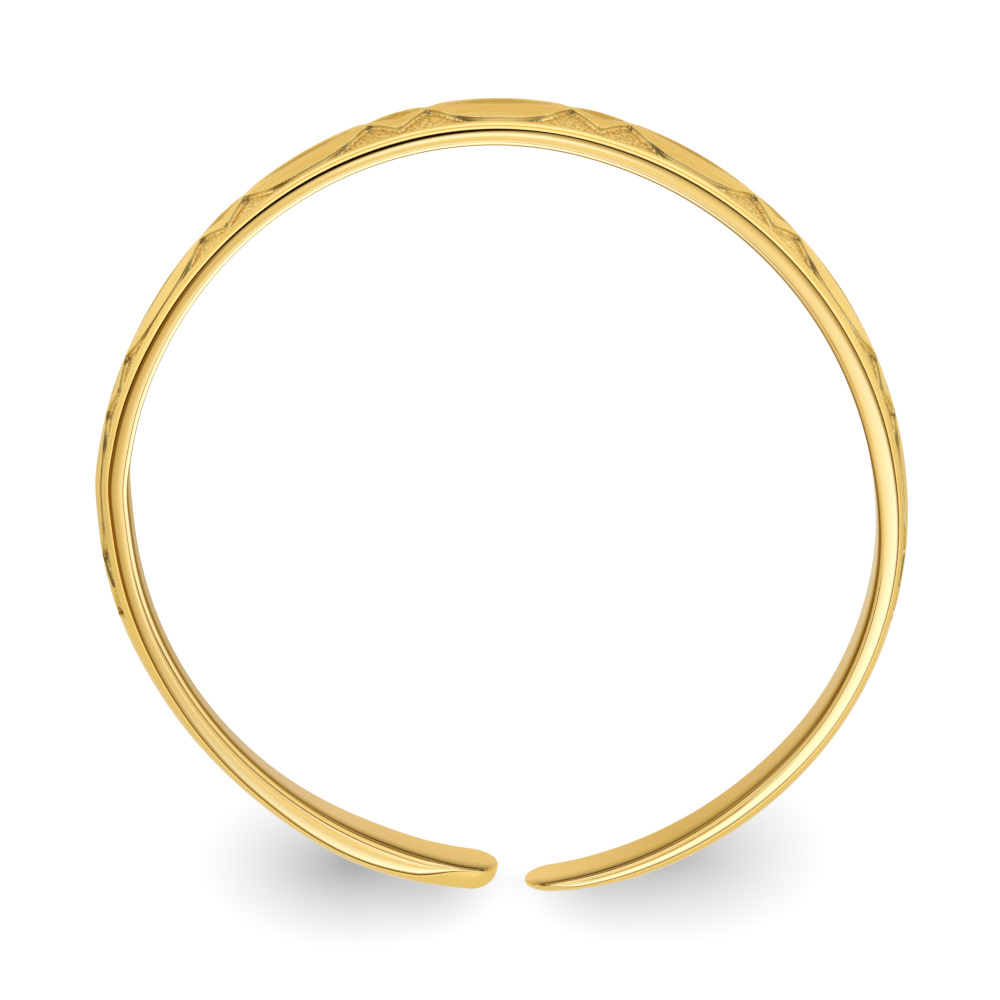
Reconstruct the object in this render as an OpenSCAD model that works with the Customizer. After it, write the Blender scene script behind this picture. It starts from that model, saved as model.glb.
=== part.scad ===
// Open toe ring: one bent gold band, wide at the front and narrow at the two loose ends.
// It lies on its side on its lower rim. The ornamented front points along +Y and the gap
// along -Y, and the toe goes through along Z.

/* [Ring] */
// Inside diameter of the round that the band is bent to
inside_d = 14.9; // [14.5:0.1:15.5]
// Angle from the front at which the left end stops
left_end = 179.8; // [178:0.1:179.8]
// Angle from the front at which the right end stops
right_end = 176.2; // [174:0.1:177]

/* [Band] */
// Width of the band at the front
front_w = 3.4; // [3:0.1:4]
// Width of the band beside the gap
back_w = 2.0; // [1.8:0.1:2.4]
// Softened edge along both rims
edge_w = 0.06; // [0.03:0.01:0.08]
// Length over which each end rounds off like a fingernail
end_round = 0.5; // [0.3:0.05:0.8]

/* [Ornament] */
// Leaves in the row, one of them at the front
leaf_count = 7; // [5:2:7]
// Arc that a leaf takes up, in degrees
leaf_arc = 20; // [18:0.5:21]
// Arc that a lozenge takes up, in degrees
lozenge_arc = 9; // [8:0.5:10]
// Smooth border between the rim and the sunken ground
border_w = 0.4; // [0.35:0.05:0.5]
// Width of the bead along the rim, between the edge and the fine groove
bead_w = 0.18; // [0.14:0.01:0.2]
// Depth of the fine groove in the border
groove_depth = 0.04; // [0.02:0.01:0.06]
// Depth of the ground round the raised motifs
ground_depth = 0.1; // [0.06:0.01:0.12]
// Depth of the vein of a leaf and the pit of a lozenge
vein_depth = 0.07; // [0.04:0.01:0.09]

/* [Hidden] */

// The band as bent by hand, a row for every 20 degrees from the gap round to the gap.
// Columns: how far the inside lies off the round, the thickness of the rim, how far the
// domed outer face rises above the rim at mid width, and how far the section leans
// outward for each millimetre up.
BEND = 0;
RIM = 1;
CROWN = 2;
LEAN = 3;
row_arc = 20;
band_rows = [
    [-0.13, 0.12, 0.44,  0.030],
    [-0.29, 0.47, 0.22,  0.015],
    [-0.31, 0.45, 0.17, -0.045],
    [-0.25, 0.40, 0.22, -0.045],
    [-0.14, 0.36, 0.32,  0.000],
    [-0.04, 0.39, 0.27,  0.020],
    [-0.01, 0.33, 0.26,  0.010],
    [ 0.03, 0.30, 0.27,  0.000],
    [ 0.05, 0.30, 0.30,  0.000],
    [ 0.03, 0.32, 0.34,  0.000],
    [-0.06, 0.34, 0.36,  0.000],
    [-0.10, 0.36, 0.35,  0.000],
    [-0.08, 0.40, 0.31,  0.000],
    [ 0.00, 0.44, 0.25,  0.000],
    [ 0.19, 0.38, 0.19, -0.010],
    [ 0.23, 0.34, 0.21, -0.010],
    [ 0.16, 0.30, 0.27,  0.000],
    [ 0.17, 0.21, 0.25,  0.020],
    [ 0.22, 0.10, 0.13,  0.010]
];

// A slight corner pressed into the left arm: where, how far it spreads, how far it stands out
kink_at = -86;
kink_arc = 4.5;
kink_out = 0.04;

// Half width of the band, which changes evenly from front to back so that each rim is flat
inside_r = inside_d / 2;
mid_half_w = (front_w + back_w) / 4;
flare = (front_w - back_w) / 4 / inside_r;

// Tilt that lays the lower rim flat
lean = atan(flare);

// Half the fine groove, the run of each sloping wall, and the ground left beside a leaf
groove_half_w = 0.06;
wall_w = 0.03;
leaf_clearance = 0.05;

// Half widths of the stem that links the motifs and of the line that ends each vein
stem_half_w = 0.08;
vein_line_half_w = 0.04;

// Shares of the ornament's height that the motifs, veins and pits fill, and the share of a
// motif's length that its vein or pit takes
leaf_fill = 1;
leaf_vein_fill = 0.17;
lozenge_fill = 0.86;
lozenge_pit_fill = 0.3;
vein_reach = 0.7;

// Sections in each motif, the arc between those of the plain arms, and their places round
// the quarter turn of a rounded end
leaf_steps = 8;
lozenge_steps = 6;
plain_arc = 3.4;
end_phases = [8, 25, 42, 58, 74, 90];
end_thinning = 0.6;

half_row = (leaf_count * leaf_arc + (leaf_count + 1) * lozenge_arc) / 2;
end_wall_arc = 0.4;

// Value of a column at an angle, on a smooth curve through the rows
function column(angle, c) =
    let (at = (angle + 180) / row_arc,
         i = min(floor(at), len(band_rows) - 2),
         t = at - i,
         before = band_rows[max(i - 1, 0)][c],
         from = band_rows[i][c],
         to = band_rows[i + 1][c],
         after = band_rows[min(i + 2, len(band_rows) - 1)][c])
    (2 * from + (to - before) * t
        + (2 * before - 5 * from + 4 * to - after) * pow(t, 2)
        + (3 * from - before - 3 * to + after) * pow(t, 3)) / 2;

function kink(angle) = kink_out * exp(-pow((angle - kink_at) / kink_arc, 2));

function half_w(y) = mid_half_w + flare * y;

// Outlines of the motifs as shares of the ornament's height, for t from -1 to 1 along each
leaf = function(t) leaf_fill * (1 - pow(abs(t), 3));
leaf_vein = function(t)
    abs(t) < vein_reach ? leaf_vein_fill * (1 - pow(t / vein_reach, 2)) : 0;
lozenge = function(t) lozenge_fill * (1 - abs(t));
lozenge_pit = function(t)
    abs(t) < vein_reach ? lozenge_pit_fill * (1 - abs(t) / vein_reach) : 0;

// A station is a place where the band has a section. Its columns: the angle, the share of
// the height that the motif and its vein fill, whether the ground is sunk, and how much of
// the full width is left, which only the rounded ends cut down.
function motif_stations(from, arc, steps, motif, vein) =
    [for (i = [0 : steps - 1])
        let (t = 2 * i / steps - 1)
        [from + arc * i / steps, motif(t), vein(t), 1, 1]];

function end_stations(tip, inward) =
    let (arc = end_round / inside_r * 180 / PI)
    [for (phase = end_phases)
        [tip + inward * arc * (1 - cos(phase)), 0, 0, 0, sin(phase)]];

// Plain sections from one angle up to, and without, another
function arm_stations(from, to) =
    let (steps = round((to - from) / plain_arc))
    [for (i = [0 : steps - 1]) [from + (to - from) * i / steps, 0, 0, 0, 1]];

function reversed(list) = [for (i = [len(list) - 1 : -1 : 0]) list[i]];

// The ornament starts and ends with a lozenge
ornament_stations = [
    for (i = [0 : leaf_count])
        let (lozenge_from = i * (leaf_arc + lozenge_arc) - half_row,
             leaf_from = lozenge_from + lozenge_arc)
        each concat(
            motif_stations(lozenge_from, lozenge_arc, lozenge_steps, lozenge, lozenge_pit),
            i < leaf_count ? motif_stations(leaf_from, leaf_arc, leaf_steps, leaf, leaf_vein) : []
        )
];

left_tip = end_stations(-left_end, 1);
right_tip = reversed(end_stations(right_end, -1));
left_arm_from = left_tip[len(left_tip) - 1][0] + plain_arc;
ornament_end = half_row + end_wall_arc;

all_stations = concat(
    left_tip,
    arm_stations(left_arm_from, -ornament_end),
    [[-ornament_end, 0, 0, 0, 1]],
    ornament_stations,
    [[half_row, 0, 0, 1, 1]],
    arm_stations(ornament_end, right_tip[0][0]),
    right_tip
);

// Upper half of a section, from the inside face over the rim to mid width. Each point holds
// its distance from mid width and its height above the inside face.
function upper_half(w, rim, crown, motif, vein, sunk) =
    let (edge = min(edge_w, rim / 3),
         dome = function(z) rim + crown * (1 - pow(z / w, 2)),
         field = w - border_w - wall_w,
         motif_z = max(motif * (field - wall_w - leaf_clearance), stem_half_w),
         vein_z = max(vein * field, vein_line_half_w),
         groove_z = w - bead_w - groove_half_w,
         ground = sunk * ground_depth,
         pit = vein > 0 ? vein_depth : 0)
    [
        [w - edge, 0],
        [w, edge],
        [w, rim - edge],
        [w - edge, dome(w - edge)],
        [w - bead_w, dome(w - bead_w)],
        [groove_z, dome(groove_z) - sunk * groove_depth],
        [groove_z - groove_half_w, dome(groove_z - groove_half_w)],
        [w - border_w, dome(w - border_w)],
        [field, dome(field) - ground],
        [motif_z + wall_w, dome(motif_z + wall_w) - ground],
        [motif_z, dome(motif_z)],
        [vein_z, dome(vein_z)],
        [vein_z / 2, dome(vein_z / 2) - pit]
    ];

// A whole section in place: the upper half, then its mirror image back to the inside face.
// The rounded ends draw in the width and, more gently, the height.
function section(station) =
    let (angle = station[0],
         r = inside_r + column(angle, BEND) + kink(angle),
         w = half_w(r * cos(angle)),
         upper = upper_half(w, column(angle, RIM), column(angle, CROWN),
                            station[1], station[2], station[3]),
         thin = pow(station[4], end_thinning),
         both = concat(upper, [for (p = reversed(upper)) [-p[0], p[1]]]))
    [for (p = both)
        let (z = p[0] * station[4],
             here = r + p[1] * thin + column(angle, LEAN) * z,
             y = here * cos(angle))
        [here * sin(angle), y, z / w * half_w(y)]];

// One closed skin through all the sections, with a small flat at each end
module band() {
    sections = [for (s = all_stations) section(s)];
    n = len(sections[0]);
    last = len(sections) - 1;
    sides = [
        for (i = [0 : last - 1], j = [0 : n - 1])
            let (a = i * n + j, b = i * n + (j + 1) % n)
            each [[a, b, a + n], [b, b + n, a + n]]
    ];
    left_cap = [for (j = [n - 1 : -1 : 0]) j];
    right_cap = [for (j = [0 : n - 1]) last * n + j];

    color("gold")
        translate([0, 0, mid_half_w * cos(lean)])
            rotate([lean, 0, 0])
                polyhedron(
                    points = [for (s = sections) each s],
                    faces = concat(sides, [left_cap, right_cap])
                );
}

band();
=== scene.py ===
import math

import bmesh
import bpy
import numpy as np
from mathutils import Matrix, Vector


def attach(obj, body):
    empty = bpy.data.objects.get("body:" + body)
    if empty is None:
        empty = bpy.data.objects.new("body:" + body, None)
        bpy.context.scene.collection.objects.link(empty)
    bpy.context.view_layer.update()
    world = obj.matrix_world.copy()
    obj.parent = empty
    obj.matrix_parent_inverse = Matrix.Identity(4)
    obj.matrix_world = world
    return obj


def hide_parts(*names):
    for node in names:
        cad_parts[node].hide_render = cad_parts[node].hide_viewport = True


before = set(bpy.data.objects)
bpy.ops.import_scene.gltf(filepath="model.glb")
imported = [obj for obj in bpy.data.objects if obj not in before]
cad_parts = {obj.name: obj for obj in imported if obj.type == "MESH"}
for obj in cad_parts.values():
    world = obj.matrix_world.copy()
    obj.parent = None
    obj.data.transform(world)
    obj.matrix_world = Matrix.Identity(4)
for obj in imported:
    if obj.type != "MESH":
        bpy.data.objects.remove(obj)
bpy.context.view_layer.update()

# The band
# The whole ring is one strip of 14 karat gold, cast with its raised leaves and lozenges and
# then bent round by hand until its two loose ends nearly meet.

# It is modelled flat, in millimetres, and then bent and laid on its lower rim. Along the strip
# is x, across it is y, and z goes from the inner face, at 0, to the outer face.
MM = 0.001
INSIDE_R = 7.45
MID_HALF_W = 1.35
FLARE = 0.35 / INSIDE_R
LEFT_END = 179.8
RIGHT_END = 176.2

# Each arm ends like a fingernail. Seen from the tip, in degrees: where the outline starts to
# close in, where the rim starts to run out, and where the metal starts to thin. The thinned
# end lifts off the inner face a little. Of the rim, NAIL_SHARE gives way to the dome, all of
# that over the last NAIL_FULL of the nail's arc.
TIP_LENGTH = 0.5
TIP_ARC = TIP_LENGTH / INSIDE_R * 180 / math.pi
LEFT_NAIL_ARC, LEFT_THINNING_ARC = 13, 4.2
RIGHT_NAIL_ARC, RIGHT_THINNING_ARC = 8, 3.8
NAIL_SHARE, NAIL_FULL = 0.85, 0.35
TIP_LIFT = 0.05

# How the strip was bent, for every 20 degrees from the gap round to the gap: how far the
# inside lies off a round, how thick the rim is, how far the domed outer face rises above the
# rim at mid width, and how far the section leans outward for each millimetre up
ROW_ARC = 20
BENT = np.array([
    (-0.13, 0.12, 0.44, 0.030),
    (-0.29, 0.47, 0.22, 0.015),
    (-0.31, 0.45, 0.17, -0.045),
    (-0.25, 0.40, 0.22, -0.045),
    (-0.14, 0.36, 0.32, 0.000),
    (-0.04, 0.39, 0.27, 0.020),
    (-0.01, 0.33, 0.26, 0.010),
    (0.03, 0.30, 0.27, 0.000),
    (0.05, 0.30, 0.30, 0.000),
    (0.03, 0.32, 0.34, 0.000),
    (-0.06, 0.34, 0.36, 0.000),
    (-0.10, 0.36, 0.35, 0.000),
    (-0.08, 0.40, 0.31, 0.000),
    (0.00, 0.44, 0.25, 0.000),
    (0.19, 0.38, 0.19, -0.010),
    (0.23, 0.34, 0.21, -0.010),
    (0.16, 0.30, 0.27, 0.000),
    (0.17, 0.21, 0.25, 0.020),
    (0.22, 0.10, 0.13, 0.010),
])

# A slight corner pressed into the left arm: where, how far it spreads, how far it stands out
KINK_AT, KINK_ARC, KINK_OUT = -86, 4.5, 0.04

# The flat strip, before it is bent. A degree of it is as long as in the middle of the metal.
# Points of the mesh that are closer than TINY to a line are on it.
MIDDLE_R = 7.8
PER_DEGREE = math.pi / 180 * MIDDLE_R
THICK = 0.3
BORDER_W = 0.4
FIELD = MID_HALF_W - BORDER_W
GROUND_DEPTH = 0.10
VEIN_DEPTH = 0.07
STEM = 0.08
VEIN_LINE = 0.04
CLEARANCE = 0.11
VEIN_REACH = 0.7
LEAF_VEIN_FILL = 0.17
LOZENGE_FILL, LOZENGE_PIT_FILL = 0.86, 0.3
LEAVES = 7
LEAF_ARC, LEAF_STEPS = 20, 32
LOZENGE_ARC, LOZENGE_STEPS = 9, 14
HALF_ROW = (LEAVES * LEAF_ARC + (LEAVES + 1) * LOZENGE_ARC) / 2
FACE_LANES = GROUND_LANES = 5
INNER_LANES = 7
TINY = 0.0005

# The walls of the sunken ground, in steps across and up that round off head and foot, and
# the fine groove in the border, with the share of its depth that each step goes up
FACE_WALL = ((0.012, -0.004), (0.010, -0.026), (0.010, -0.062), (0.012, -0.008))
BORDER_WALL = ((0.012, 0.008), (0.008, 0.062), (0.008, 0.026), (0.008, 0.004))
BORDER_WALL_W = sum(across for across, up in BORDER_WALL)
GROOVE_FROM = FIELD + 0.10
GROOVE_DEPTH, GROOVE_STEP = 0.018, 0.02
GROOVE_SHARES = (-0.25, -0.5, -0.25, 0.25, 0.5, 0.25)


def choose(test):
    """Selects the points of the mesh in edit mode whose place passes the test."""
    work = bmesh.from_edit_mesh(bpy.context.object.data)
    for point in work.verts:
        point.select = test(point.co)
    work.select_flush_mode()
    bmesh.update_edit_mesh(bpy.context.object.data)


def draw_out(along=0.0, across=0.0, up=0.0):
    """Extrudes the chosen edges into a new row of faces."""
    bpy.ops.mesh.extrude_edges_move(
        TRANSFORM_OT_translate={"value": (along, across, up)}
    )


def draw_to_line(line, rows):
    """Extrudes the chosen edges in even rows up to a straight line along the strip."""
    for row in range(rows):
        draw_out()
        left = (rows - 1 - row) / (rows - row)
        bpy.ops.transform.resize(value=(1, left, 1), center_override=(0, line, 0))


def leaf(t):
    return 1 - abs(t) ** 3


def leaf_vein(t):
    return LEAF_VEIN_FILL * max(1 - (t / VEIN_REACH) ** 2, 0)


def lozenge(t):
    return LOZENGE_FILL * (1 - abs(t))


def lozenge_pit(t):
    return LOZENGE_PIT_FILL * max(1 - abs(t) / VEIN_REACH, 0)


def carve_motif(arc, steps, outline, vein):
    """Half a motif from mid width out to the bead: vein, face, sunken ground and border."""
    length = arc * PER_DEGREE
    columns = [length * i / steps for i in range(steps + 1)]

    def share(x):
        return 2 * x / length - 1

    def vein_edge(x):
        return max(vein(share(x)) * FIELD, VEIN_LINE)

    def face_edge(x):
        return max(outline(share(x)) * (FIELD - CLEARANCE), STEM)

    bpy.ops.object.select_all(action="DESELECT")
    bpy.ops.mesh.primitive_grid_add(x_subdivisions=steps, y_subdivisions=2, size=1)
    motif = bpy.context.object
    bpy.ops.object.mode_set(mode="EDIT")
    bpy.ops.transform.resize(value=(length, 1, 1))
    bpy.ops.transform.translate(value=(length / 2, 0.5, THICK))

    # The vein: two lanes drawn in to its outline and pressed down
    for x in columns:
        choose(lambda p: abs(p.x - x) < TINY)
        bpy.ops.transform.resize(value=(1, vein_edge(x), 1), center_override=(x, 0, 0))
    for x in columns:
        deep = VEIN_DEPTH * math.sqrt(max(1 - (share(x) / VEIN_REACH) ** 2, 0))
        choose(lambda p: abs(p.x - x) < TINY and p.y < 0.75 * vein_edge(x))
        bpy.ops.transform.translate(value=(0, 0, -deep))

    # The face, in even lanes from the vein to the motif's outline
    choose(lambda p: abs(p.y - vein_edge(p.x)) < TINY)
    for lane in range(FACE_LANES):
        draw_out(across=1)
    for x in columns:
        choose(lambda p: abs(p.x - x) < TINY and p.y > vein_edge(p.x) + 0.5)
        wide = (face_edge(x) - vein_edge(x)) / FACE_LANES
        bpy.ops.transform.resize(value=(1, wide, 1), center_override=(x, vein_edge(x), 0))

    # The wall down to the sunken ground, the ground, and the wall up to the border
    choose(lambda p: abs(p.y - face_edge(p.x)) < TINY)
    for across, up in FACE_WALL:
        draw_out(across=across, up=up)
    draw_to_line(FIELD - BORDER_WALL_W, GROUND_LANES)
    for across, up in BORDER_WALL:
        draw_out(across=across, up=up)

    # The border with its fine groove, as far as the bead
    draw_to_line(GROOVE_FROM, 2)
    for share_of_depth in GROOVE_SHARES:
        draw_out(across=GROOVE_STEP, up=share_of_depth * GROOVE_DEPTH)
    draw_to_line(BEAD_FROM, 1)
    bpy.ops.object.mode_set(mode="OBJECT")
    return motif


# The rim's section: a rounded outer corner, a slightly pillowed rim with a fine line scribed
# along both arms, and a rounded inner corner. The places on the pillow are shares of its
# height, from the outer corner down.
PILLOW_TILT = math.radians(7)
OUTER_ROUND = 0.15
INNER_ROUND = 0.095
ARM_CORNER = 0.7
CORNER_EASES = (40, 95)
turn = math.pi / 2 - PILLOW_TILT
pillow_top = THICK - OUTER_ROUND * (1 - math.cos(turn))
pillow_foot = INNER_ROUND * (1 - math.cos(turn))
pillow_height = pillow_top - pillow_foot
PILLOW_SAG = pillow_height * math.tan(PILLOW_TILT) / 4
SCRIBE_AT, SCRIBE_WIDE, SCRIBE_DEEP = 0.8, 0.085, 0.016
LEFT_LINE = ((92, 115), (160, 174))
RIGHT_LINE = ((128, 145), (160, 172))
SCRIBED = [SCRIBE_AT + SCRIBE_WIDE * i / 2 for i in range(-4, 4)]
PILLOW_LANES = (0.12, 0.25, 0.38, 0.5, *SCRIBED, 1)
OUTER_STEPS, INNER_STEPS = 8, 6
edge_y = MID_HALF_W - PILLOW_SAG
BEAD_FROM = edge_y - OUTER_ROUND * math.sin(turn)
inner_from = edge_y - INNER_ROUND * math.sin(turn)

motifs = []
at = -HALF_ROW
pattern = ["lozenge", "leaf"] * LEAVES + ["lozenge"]
cut = {
    "leaf": (LEAF_ARC, carve_motif(LEAF_ARC, LEAF_STEPS, leaf, leaf_vein)),
    "lozenge": (LOZENGE_ARC, carve_motif(LOZENGE_ARC, LOZENGE_STEPS, lozenge, lozenge_pit)),
}
for kind in pattern:
    arc, first = cut[kind]
    bpy.ops.object.select_all(action="DESELECT")
    first.select_set(True)
    bpy.context.view_layer.objects.active = first
    bpy.ops.object.duplicate()
    bpy.ops.transform.translate(value=(at * PER_DEGREE, 0, 0))
    motifs.append(bpy.context.object)
    at += arc
for arc, first in cut.values():
    bpy.data.objects.remove(first)

bpy.ops.object.select_all(action="DESELECT")
for motif in motifs:
    motif.select_set(True)
bpy.context.view_layer.objects.active = motifs[0]
bpy.ops.object.transform_apply(location=True, rotation=True, scale=True)
bpy.ops.object.join()
gold_band = bpy.context.object
gold_band.name = "gold_band"
bpy.ops.object.mode_set(mode="EDIT")
bpy.ops.mesh.select_all(action="SELECT")
bpy.ops.mesh.remove_doubles(threshold=TINY / 2)

# The plain arms are drawn out from both ends of the row, and their last stretch closes in
# steps that grow shorter towards the rounded tip
END_WALL = 0.4
ARM_STEP = 1.2
TIP_PHASES = [math.radians(phase) for phase in (78, 67, 57, 47, 38, 29, 21, 14, 8, 4)]
for side, end in ((-1, LEFT_END), (1, RIGHT_END)):
    row_end = side * HALF_ROW * PER_DEGREE
    choose(lambda p: abs(p.x - row_end) < TINY)
    draw_out(along=side * END_WALL * PER_DEGREE)
    bpy.ops.transform.resize(value=(1, 1, 0), center_override=(0, 0, THICK))
    arm_from = HALF_ROW + END_WALL
    arm_to = end - TIP_ARC
    steps = round((arm_to - arm_from) / ARM_STEP)
    stops = [arm_from + (arm_to - arm_from) * (i + 1) / steps for i in range(steps)]
    stops += [end - TIP_ARC * (1 - math.cos(phase)) for phase in TIP_PHASES]
    for stop, before in zip(stops, [arm_from] + stops):
        draw_out(along=side * (stop - before) * PER_DEGREE)

# The bead turns over into the rim, the rim into the inner face, and that runs to mid width
section = []
for i in range(1, OUTER_STEPS + 1):
    angle = turn * i / OUTER_STEPS
    section.append((
        BEAD_FROM + OUTER_ROUND * math.sin(angle),
        THICK - OUTER_ROUND * (1 - math.cos(angle)),
    ))
for across in PILLOW_LANES:
    section.append((
        MID_HALF_W - PILLOW_SAG * (2 * across - 1) ** 2,
        pillow_top + (pillow_foot - pillow_top) * across,
    ))
for i in range(1, INNER_STEPS + 1):
    angle = math.pi / 2 + PILLOW_TILT + turn * i / INNER_STEPS
    section.append((
        inner_from + INNER_ROUND * math.sin(angle),
        INNER_ROUND * (1 + math.cos(angle)),
    ))
choose(lambda p: abs(p.y - BEAD_FROM) < TINY)
for (y, z), (y_before, z_before) in zip(section, [(BEAD_FROM, THICK)] + section):
    draw_out(across=y - y_before, up=z - z_before)
draw_to_line(0, INNER_LANES)
bpy.ops.object.mode_set(mode="OBJECT")

# The half strip is mirrored and its two ends closed
bpy.ops.object.modifier_add(type="MIRROR")
mirror = gold_band.modifiers[-1]
mirror.use_axis = (False, True, False)
mirror.merge_threshold = TINY / 2
bpy.ops.object.modifier_apply(modifier=mirror.name)
bpy.ops.object.mode_set(mode="EDIT")
bpy.ops.mesh.select_all(action="SELECT")
bpy.ops.mesh.fill_holes(sides=0)
bpy.ops.mesh.select_all(action="SELECT")
bpy.ops.mesh.normals_make_consistent(inside=False)
bpy.ops.object.mode_set(mode="OBJECT")


def half_width(y):
    return MID_HALF_W + FLARE * y


def bent(column, angle):
    """A column of the table at each angle, on a smooth curve through its rows."""
    place = (angle + 180) / ROW_ARC
    row = np.clip(np.floor(place).astype(int), 0, len(BENT) - 2)
    t = place - row
    values = BENT[:, column]
    before = values[np.maximum(row - 1, 0)]
    here = values[row]
    after = values[row + 1]
    later = values[np.minimum(row + 2, len(BENT) - 1)]
    return (
        2 * here
        + (after - before) * t
        + (2 * before - 5 * here + 4 * after - later) * t**2
        + (3 * here - before - 3 * after + later) * t**3
    ) / 2


def step_between(low, high, value):
    """0 below low, 1 above high and a soft slope in between."""
    t = np.clip((value - low) / (high - low), 0, 1)
    return t * t * (3 - 2 * t)


def stretch(rise, fall, value):
    """1 on a stretch and 0 off it, with a soft slope over rise and another over fall."""
    return step_between(*rise, value) * (1 - step_between(*fall, value))


# What the finish needs to know about each point, kept from the flat strip. The belly is the
# soft turn of the inner face towards the upper rim, given as a height in the material. Near
# the front the satin ends in the border's groove, further round it runs on to the bead, and
# past the row of motifs there is none.
BELLY_FROM = 0.2
BELLY_SLOPE = math.tan(math.radians(27))
ROW_ENDS = (HALF_ROW - 12, HALF_ROW + 3)
RAILED_TO = (28, 50)
SATIN_ON_BORDER, SATIN_EDGE, GROUND_EDGE = 0.13, 0.04, 0.02
mesh = gold_band.data
flat = np.zeros(len(mesh.vertices) * 3)
mesh.vertices.foreach_get("co", flat)
flat = flat.reshape(-1, 3)
angle = flat[:, 0] / PER_DEGREE
off_mid = np.abs(flat[:, 1])
outside = flat[:, 2] > pillow_top - TINY
inside = flat[:, 2] < pillow_foot + TINY
in_row = 1 - step_between(*ROW_ENDS, np.abs(angle))
railed = 1 - step_between(*RAILED_TO, np.abs(angle))
satin_to = BEAD_FROM + (FIELD + SATIN_ON_BORDER - BEAD_FROM) * railed
sunken = step_between(0.0, GROUND_DEPTH, THICK - flat[:, 2])
facts = {
    "along": flat[:, 0],
    "satin": outside * in_row * (1 - step_between(satin_to - SATIN_EDGE, satin_to, off_mid)),
    "ground": outside * sunken * (off_mid < FIELD + GROUND_EDGE),
    "belly": inside * np.clip(flat[:, 1] / MID_HALF_W - BELLY_FROM, 0, 1) ** 2,
}
for fact, value in facts.items():
    stored = mesh.attributes.new(name=fact, type="FLOAT", domain="POINT")
    stored.data.foreach_set("value", value.astype(np.float32))

# The strip is bent: the borders keep their width while the field between them narrows from
# the front to the gap, and the tips close in
radius = INSIDE_R + bent(0, angle) + KINK_OUT * np.exp(-(((angle - KINK_AT) / KINK_ARC) ** 2))
rim, crown, lean = bent(1, angle), bent(2, angle), bent(3, angle)
turned = np.radians(angle)
half_w = half_width(radius * np.cos(turned))
from_tip = np.where(angle < 0, LEFT_END, RIGHT_END) - np.abs(angle)
full = np.sqrt(1 - np.clip(1 - from_tip / TIP_ARC, 0, 1) ** 2)
thinning_arc = np.where(angle < 0, LEFT_THINNING_ARC, RIGHT_THINNING_ARC)
thin = np.sqrt(1 - np.clip(1 - from_tip / thinning_arc, 0, 1) ** 2)
nail_arc = np.where(angle < 0, LEFT_NAIL_ARC, RIGHT_NAIL_ARC)
nail = NAIL_SHARE * (1 - step_between(NAIL_FULL, 1, from_tip / nail_arc))
crown = crown + rim * nail
rim = rim * (1 - nail)
fit = np.minimum(rim / THICK, 1)
tight = fit * (1 - (1 - ARM_CORNER) * step_between(*CORNER_EASES, np.abs(angle)))
foot = fit * pillow_foot
top = rim - tight * (THICK - pillow_top)
pillow = (top - foot) / pillow_height
edge_at = half_w - pillow * PILLOW_SAG
drawn_in = edge_y - off_mid
bead_at = edge_at - tight * (edge_y - BEAD_FROM)
inner_at = edge_at - fit * (edge_y - inner_from)
field = half_w - BORDER_W
on_outside = np.select(
    [off_mid < FIELD, off_mid < BEAD_FROM],
    [
        off_mid * field / FIELD,
        field + (bead_at - field) * (off_mid - FIELD) / (BEAD_FROM - FIELD),
    ],
    edge_at - tight * drawn_in,
)
on_inside = np.where(
    off_mid < inner_from,
    off_mid * inner_at / inner_from,
    edge_at - fit * drawn_in,
)
left_arm = stretch(*LEFT_LINE, -angle)
right_arm = stretch(*RIGHT_LINE, angle)
along_rim = (pillow_top - flat[:, 2]) / pillow_height
scribed = SCRIBE_DEEP * np.exp(-(((along_rim - SCRIBE_AT) / SCRIBE_WIDE) ** 2))
on_rim = half_w - pillow * (MID_HALF_W - off_mid) - scribed * (left_arm + right_arm)
across = np.select([inside, outside], [on_inside, on_outside], on_rim) * np.sign(flat[:, 1])
dome = rim + crown * (1 - (across / half_w) ** 2)
in_groove = (off_mid > FIELD + TINY) & (off_mid < BEAD_FROM - TINY)
sunk = (THICK - flat[:, 2]) * np.where(in_groove, railed, 1)
height = np.select(
    [inside, outside],
    [fit * flat[:, 2], dome - np.where(off_mid < BEAD_FROM - TINY, 1, tight) * sunk],
    foot + (top - foot) * (flat[:, 2] - pillow_foot) / pillow_height,
)

# On the right arm the rim slopes down a little towards the outside
SLANT = 0.11
SLANTED = ((35, 85), (155, 170))
slant = SLANT * stretch(*SLANTED, angle)
rimward = step_between(FIELD, MID_HALF_W, off_mid)
across = (across - slant * rimward * height * np.sign(across)) * full
distance = radius + height * thin + TIP_LIFT * (1 - thin) + lean * across
ring_y = distance * np.cos(turned)
ring = np.stack(
    [distance * np.sin(turned), ring_y, across / half_w * half_width(ring_y)], axis=1
)
mesh.vertices.foreach_set("co", (ring * MM).ravel())
mesh.update()

# The ring is laid on its side, flat on its lower rim
slope = math.atan(FLARE)
LAID = Matrix.Translation((0, 0, MID_HALF_W * math.cos(slope) * MM)) @ Matrix.Rotation(
    slope, 4, "X"
)
mesh.transform(LAID)
gold_band.matrix_world = Matrix.Identity(4)
bpy.ops.object.select_all(action="DESELECT")
gold_band.select_set(True)
bpy.context.view_layer.objects.active = gold_band
bpy.ops.object.mode_set(mode="EDIT")
bpy.ops.mesh.select_all(action="SELECT")
bpy.ops.mesh.normals_make_consistent(inside=False)
bpy.ops.object.mode_set(mode="OBJECT")
bpy.ops.object.shade_smooth_by_angle(angle=math.radians(50))


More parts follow.
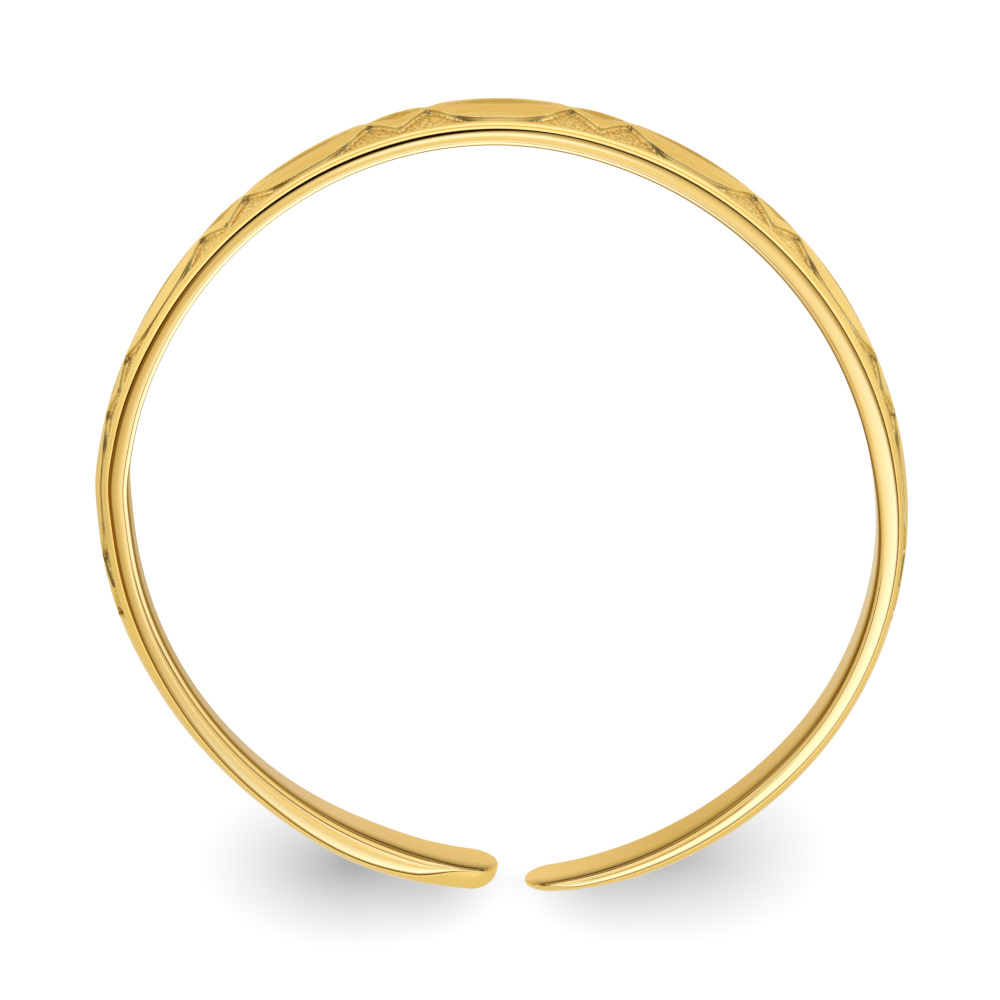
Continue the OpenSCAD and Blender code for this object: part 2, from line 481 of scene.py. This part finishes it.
class Wire:
    """A value or colour on its way through a material. Sums on it add Math nodes."""

    def __init__(self, tree, socket=None):
        self.tree = tree
        self.socket = socket

    def node(self, kind, settings=None, out=0, inputs=None):
        """Adds a node: its settings first, then the values or wires of its sockets."""
        made = self.tree.nodes.new(kind)
        for name, value in (settings or {}).items():
            if name == "stops":
                while len(made.color_ramp.elements) < len(value):
                    made.color_ramp.elements.new(1.0)
                for element, (place, colour) in zip(made.color_ramp.elements, value):
                    element.position = place
                    element.color = (*colour, 1.0)
            else:
                setattr(made, name, value)
        for name, value in (inputs or {}).items():
            if isinstance(value, Wire):
                self.tree.links.new(value.socket, made.inputs[name])
            else:
                made.inputs[name].default_value = value
        return Wire(self.tree, made.outputs[out] if len(made.outputs) else None)

    def math(self, operation, *values):
        settings = {"operation": operation}
        return self.node("ShaderNodeMath", settings, inputs=dict(enumerate(values)))

    def __add__(self, other):
        return self.math("ADD", self, other)

    def __radd__(self, other):
        return self.math("ADD", other, self)

    def __sub__(self, other):
        return self.math("SUBTRACT", self, other)

    def __rsub__(self, other):
        return self.math("SUBTRACT", other, self)

    def __mul__(self, other):
        return self.math("MULTIPLY", self, other)

    def __rmul__(self, other):
        return self.math("MULTIPLY", other, self)

    def __pow__(self, other):
        return self.math("POWER", self, other)

    def steep(self, value, low, high):
        """0 below low, 1 above high and even between."""
        limits = {"From Min": low, "From Max": high}
        return self.node("ShaderNodeMapRange", inputs={"Value": value, **limits})

    def mix(self, low, high):
        """low where this is 0 and high where it is 1."""
        settings = {"data_type": "RGBA"}
        return self.node("ShaderNodeMix", settings, out=2, inputs={0: self, 6: low, 7: high})


def material_of(name):
    """An empty material and a wire to build it from."""
    material = bpy.data.materials.new(name)
    material.use_nodes = True
    material.node_tree.nodes.clear()
    return material, Wire(material.node_tree)


# Yellow gold: mirror bright on the rims, the bead and the inner face, brushed along the band
# on the raised faces and stippled in the sunken ground. The walls between get a darker gold as
# painted shade.
POLISHED = (0.95, 0.67, 0.22, 1)
SATIN_LOW = (0.74, 0.52, 0.17, 1)
SATIN_HIGH = (0.97, 0.72, 0.29, 1)
WALL_SHADE_GOLD = (0.73, 0.49, 0.11, 1)
STIPPLE_LOW = (0.36, 0.23, 0.05, 1)
STIPPLE_HIGH = (0.98, 0.74, 0.32, 1)

# How fine each pattern is, to the metre or for ALONG to the millimetre, and how deep it is,
# in millimetres
BRUSH_ALONG, BRUSH_ACROSS, BRUSH_DEPTH = 0.9, 24000, 0.0022
WAVE_ALONG, WAVE_ACROSS, WAVE_DEPTH = 0.5, 900, 0.0012
STIPPLE_FINE, STIPPLE_DEPTH = 13000, 0.009
GRAIN_FINE, GRAIN_DEPTH, GROUND_GRAIN_DEPTH = 30000, 0.0012, 0.004
BELLY_RISE = MID_HALF_W * BELLY_SLOPE / 2 / (1 - BELLY_FROM)

# How much of a pattern and of the grain goes into a tone, and where the tone starts and ends
BRUSH_PARTS, BRUSH_TONES = (0.55, 0.45), (0.38, 0.62)
PIT_PARTS, PIT_TONES = (0.5, 0.5), (0.25, 0.60)

# The roughness of the polish, and what each other finish adds to it
POLISH_ROUGH, SATIN_ROUGH, BRUSH_ROUGH = 0.06, 0.16, 0.10
GROUND_ROUGH, WALL_ROUGH = 0.16, 0.15
GLANCING_TINT = (0.95, 0.81, 0.54, 1)
gold, start = material_of("gold")
along = start.node("ShaderNodeAttribute", {"attribute_name": "along"}, out="Fac")
satin = start.node("ShaderNodeAttribute", {"attribute_name": "satin"}, out="Fac")
ground = start.node("ShaderNodeAttribute", {"attribute_name": "ground"}, out="Fac")
belly = start.node("ShaderNodeAttribute", {"attribute_name": "belly"}, out="Fac")
place = start.node("ShaderNodeTexCoord", out="Object")
x = start.node("ShaderNodeSeparateXYZ", inputs={0: place}, out=0)
y = start.node("ShaderNodeSeparateXYZ", inputs={0: place}, out=1)
z = start.node("ShaderNodeSeparateXYZ", inputs={0: place}, out=2)
out_from_axis = (x * x + y * y) ** 0.5

brush_lines = start.node(
    "ShaderNodeCombineXYZ",
    inputs={0: along * BRUSH_ALONG, 1: out_from_axis * BRUSH_ACROSS, 2: z * BRUSH_ACROSS},
)
brushed = start.node(
    "ShaderNodeTexNoise", out=0, inputs={"Vector": brush_lines, "Scale": 1, "Detail": 3}
)
stipple = start.node(
    "ShaderNodeTexVoronoi", out=0, inputs={"Vector": place, "Scale": STIPPLE_FINE}
)
grain = start.node(
    "ShaderNodeTexNoise", out=0, inputs={"Vector": place, "Scale": GRAIN_FINE, "Detail": 2}
)
wave_lines = start.node(
    "ShaderNodeCombineXYZ",
    inputs={0: along * WAVE_ALONG, 1: out_from_axis * WAVE_ACROSS, 2: z * WAVE_ACROSS},
)
wave = start.node(
    "ShaderNodeTexNoise", out=0, inputs={"Vector": wave_lines, "Scale": 1, "Detail": 1}
)
on_faces = satin * (1 - ground)
height = (
    on_faces * (brushed * BRUSH_DEPTH + grain * GRAIN_DEPTH)
    + ground**4 * (stipple * STIPPLE_DEPTH + grain * GROUND_GRAIN_DEPTH)
    + (1 - satin) * wave * WAVE_DEPTH
    - belly * BELLY_RISE
)
normal = start.node(
    "ShaderNodeBump", inputs={"Strength": 1, "Distance": MM, "Height": height}
)
brush_tone = start.steep(BRUSH_PARTS[0] * brushed + BRUSH_PARTS[1] * grain, *BRUSH_TONES)
satin_tone = brush_tone.mix(SATIN_LOW, SATIN_HIGH)
pit_tone = start.steep(PIT_PARTS[0] * stipple + PIT_PARTS[1] * grain, *PIT_TONES)
stipple_tone = pit_tone.mix(STIPPLE_LOW, STIPPLE_HIGH)

# 1 halfway down each wall of the ground and 0 above and below it
wall = 4 * ground * (1 - ground)
# On the walls of the ground the gold is darker: painted shade in the relief's edges.
colour = wall.mix(ground.mix(satin.mix(POLISHED, satin_tone), stipple_tone), WALL_SHADE_GOLD)
roughness = (
    POLISH_ROUGH
    + on_faces * (SATIN_ROUGH + BRUSH_ROUGH * brushed)
    + ground * GROUND_ROUGH
    + wall * WALL_ROUGH
)
surface = start.node(
    "ShaderNodeBsdfPrincipled",
    inputs={
        "Base Color": colour,
        "Metallic": 1.0,
        "Roughness": roughness,
        "Normal": normal,
        "Specular Tint": GLANCING_TINT,
    },
)
start.node("ShaderNodeOutputMaterial", inputs={"Surface": surface})
mesh.materials.clear()
mesh.materials.append(gold)

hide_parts("band")
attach(gold_band, "root")

# The floor and the light
# The ring lies on a glowing sheet inside a glowing tent. There are no lamps, and the ring
# casts almost no shadow.

# The camera sees both plain white, but for soft shade that is painted on the sheet beside the
# two arms. The gold sees neither of them plain. In the sheet and the tent it reflects light,
# dark and coloured zones that the camera doesn't see, placed to suit the main view.
FLOOR_SIZE = 3
bpy.ops.object.select_all(action="DESELECT")
bpy.ops.mesh.primitive_plane_add(size=FLOOR_SIZE)
floor = bpy.context.object
floor.name = "floor"
white, start = material_of("white_sheet")
place = start.node("ShaderNodeTexCoord", out="Object")
x = start.node("ShaderNodeSeparateXYZ", inputs={0: place}, out=0) * (1 / MM)
y = start.node("ShaderNodeSeparateXYZ", inputs={0: place}, out=1) * (1 / MM)
from_middle = (x * x + y * y) ** 0.5

# The painted shade, in soft ovals: their middles, half widths and half heights in millimetres,
# and their strengths. It fades out towards the ring between two distances from the middle.
PAPER = (1.0, 1.0, 1.0, 1)
SHADE = (0.40, 0.40, 0.395, 1)
SHADE_EASE = 1.5
LEFT_OVALS = ((-2.9, -7.5, 3.9, 2.2, 1.1), (-1.2, -7.8, 1.6, 1.5, 0.3))
RIGHT_OVALS = ((3.5, -7.3, 4.0, 2.4, 1.0), (1.9, -7.8, 2.0, 1.6, 0.35))
LEFT_FADE, RIGHT_FADE = (7.3, 7.6), (7.6, 7.8)


def shade(ovals, fade):
    """The shade beside one arm: strongest in the middle of each oval, none outside them."""
    total = 0
    for middle_x, middle_y, half_wide, half_high, strength in ovals:
        off_x = (x - middle_x) * (1 / half_wide)
        off_y = (y - middle_y) * (1 / half_high)
        off = start.steep((off_x * off_x + off_y * off_y) ** 0.5, 0.0, 1.0)
        total = (1 - off) ** SHADE_EASE * strength + total
    return total * start.steep(from_middle, *fade)


shaded = shade(LEFT_OVALS, LEFT_FADE) + shade(RIGHT_OVALS, RIGHT_FADE)
for_camera = shaded.mix(PAPER, SHADE)

# What the gold reflects in the sheet, from the middle out: brown, near black, then a glow up
# to the ring that goes from gold on the left over white to cream on the right. Beyond the
# ring it goes from cream behind over white to tan ahead, and further out from white to bluish
# ahead.
MIDDLE_BROWN = (0.46, 0.34, 0.16, 1)
NEAR_BLACK = (0.06, 0.02, 0.00, 1)
LEFT_GOLD = (0.60, 0.50, 0.27, 1)
FOOT_WHITE = (0.90, 0.90, 0.92, 1)
RIGHT_CREAM = (0.71, 0.66, 0.50, 1)
BEHIND_CREAM = (0.80, 0.81, 0.71, 1)
BESIDE_WHITE = (1.05, 1.08, 1.00, 1)
AHEAD_TAN = (0.88, 0.82, 0.62, 1)
FAR_WHITE = (1.02, 1.00, 0.92, 1)
FAR_BLUISH = (1.20, 1.30, 1.60, 1)
ahead = start.steep(y, 5.5, 8.5)
beside = start.steep(y, 0.0, 4.5).mix(BEHIND_CREAM, BESIDE_WHITE)
near = ahead.mix(beside, AHEAD_TAN)
far = ahead.mix(FAR_WHITE, FAR_BLUISH)
beyond = start.steep(from_middle, 11.0, 15.0).mix(near, far)
glow = start.steep(x, 0.8, 3.4).mix(FOOT_WHITE, RIGHT_CREAM)
glow = start.steep(x, -6.5, -3.0).mix(LEFT_GOLD, glow)
glow = start.steep(from_middle, 7.4, 8.0).mix(glow, beyond)
middle = start.steep(from_middle, 2.4, 3.6).mix(MIDDLE_BROWN, NEAR_BLACK)
for_gold = start.steep(from_middle, 4.0, 7.4).mix(middle, glow)

seen = start.node("ShaderNodeLightPath", out="Is Camera Ray")
sheet = start.node(
    "ShaderNodeBsdfPrincipled",
    inputs={
        "Base Color": (0.08, 0.08, 0.07, 1),
        "Roughness": 1.0,
        "Specular IOR Level": 0.0,
        "Emission Color": seen.mix(for_gold, for_camera),
        "Emission Strength": 1.0,
    },
)
start.node("ShaderNodeOutputMaterial", inputs={"Surface": sheet})
floor.data.materials.append(white)

# What the gold reflects in the tent, from the horizon up: near black, brown, tan and then
# ever whiter. Patches of other colours lie over it, each given by its azimuth, elevation,
# spread, core, strength and colour. Last come the near black patches at the horizon.
COOL_WHITE = (1.2, 1.5, 2.75, 1)
TAN = (0.45, 0.36, 0.22, 1)
BROWN = (0.26, 0.14, 0.02, 1)
BLACK_BROWN = (0.016, 0.005, 0.0, 1)
PATCHES = (
    (235, 55, 34, 0, 0.6, TAN),
    (-95, 20, 44, 24, 1.0, BROWN),
    (135, 39, 43, 0, 1.0, COOL_WHITE),
    (178, 48, 24, 0, 1.0, COOL_WHITE),
    (0, 64, 24, 6, 0.8, COOL_WHITE),
)
DARK_PATCHES = (
    (-25, 0, 45, 33, 1.0),
    (32, 0, 28, 18, 0.7),
    (-80, 0, 24, 14, 1.0),
)
scene = bpy.context.scene
scene.world = bpy.data.worlds.new("tent")
scene.world.use_nodes = True
scene.world.node_tree.nodes.clear()
start = Wire(scene.world.node_tree)
toward = start.node("ShaderNodeTexCoord", out="Generated")
up = start.node("ShaderNodeSeparateXYZ", inputs={0: toward}, out=2)
overhead = start.node(
    "ShaderNodeValToRGB",
    {
        "stops": [
            (0.00, (0.07, 0.03, 0.00)),
            (0.15, (0.14, 0.07, 0.01)),
            (0.35, (0.48, 0.40, 0.27)),
            (0.75, (0.82, 0.81, 0.78)),
            (0.95, (0.95, 0.94, 0.90)),
            (1.00, (1.00, 0.99, 0.96)),
        ]
    },
    inputs={0: up},
)


def patch(azimuth, elevation, spread, core):
    """1 in the core of a soft patch of the tent and 0 outside it. Azimuth 0 is over the front
    and 90 to its right."""
    a, e = math.radians(azimuth), math.radians(elevation)
    middle = (math.sin(a) * math.cos(e), math.cos(a) * math.cos(e), math.sin(e))
    facing = start.node(
        "ShaderNodeVectorMath", {"operation": "DOT_PRODUCT"}, out="Value",
        inputs={0: toward, 1: middle},
    )
    limits = {
        "From Min": math.cos(math.radians(spread)),
        "From Max": math.cos(math.radians(core)),
    }
    return start.node(
        "ShaderNodeMapRange", {"interpolation_type": "SMOOTHSTEP"},
        inputs={"Value": facing, **limits},
    )


light = overhead
for azimuth, elevation, spread, core, strength, tint in PATCHES:
    light = (patch(azimuth, elevation, spread, core) * strength).mix(light, tint)
dark = 0
for azimuth, elevation, spread, core, strength in DARK_PATCHES:
    dark = patch(azimuth, elevation, spread, core) * strength + dark
light = dark.mix(light, BLACK_BROWN)
seen = start.node("ShaderNodeLightPath", out="Is Camera Ray")
tent = start.node("ShaderNodeBackground", inputs={"Color": light, "Strength": 1.0})
pale = start.node("ShaderNodeBackground", inputs={"Color": PAPER, "Strength": 1.0})
both = start.node("ShaderNodeMixShader", inputs={0: seen, 1: tent, 2: pale})
start.node("ShaderNodeOutputWorld", inputs={"Surface": both})
scene.view_settings.view_transform = "Standard"

# The camera
# It looks down on the lying ring as the photograph looks at the upright one: ten degrees off
# the toe hole's axis, towards the front, and a hair to the left, from about 350 mm away.
VIEW_TIP = math.radians(10)
VIEW_SWING = math.radians(-0.91)
VIEW_DISTANCE = 350 * MM
VIEW_WIDTH = 20 * MM
VIEW_AIM = Vector((0.012, 0.078, 0.137)) * MM
SENSOR_WIDTH = 36
back = Vector((
    math.sin(VIEW_SWING) * math.cos(VIEW_TIP),
    math.sin(VIEW_TIP),
    math.cos(VIEW_SWING) * math.cos(VIEW_TIP),
))
right = Vector((0, 1, 0)).cross(back).normalized()
upward = back.cross(right)
aimed = Matrix((right, upward, back)).transposed().to_4x4()
aimed.translation = VIEW_AIM + back * VIEW_DISTANCE
bpy.ops.object.camera_add()
camera = bpy.context.object
camera.name = "camera"
camera.matrix_world = LAID @ aimed
camera.data.sensor_width = SENSOR_WIDTH
camera.data.lens = SENSOR_WIDTH * VIEW_DISTANCE / VIEW_WIDTH
camera.data.clip_start = 0.01
camera.data.clip_end = 10
scene.camera = camera
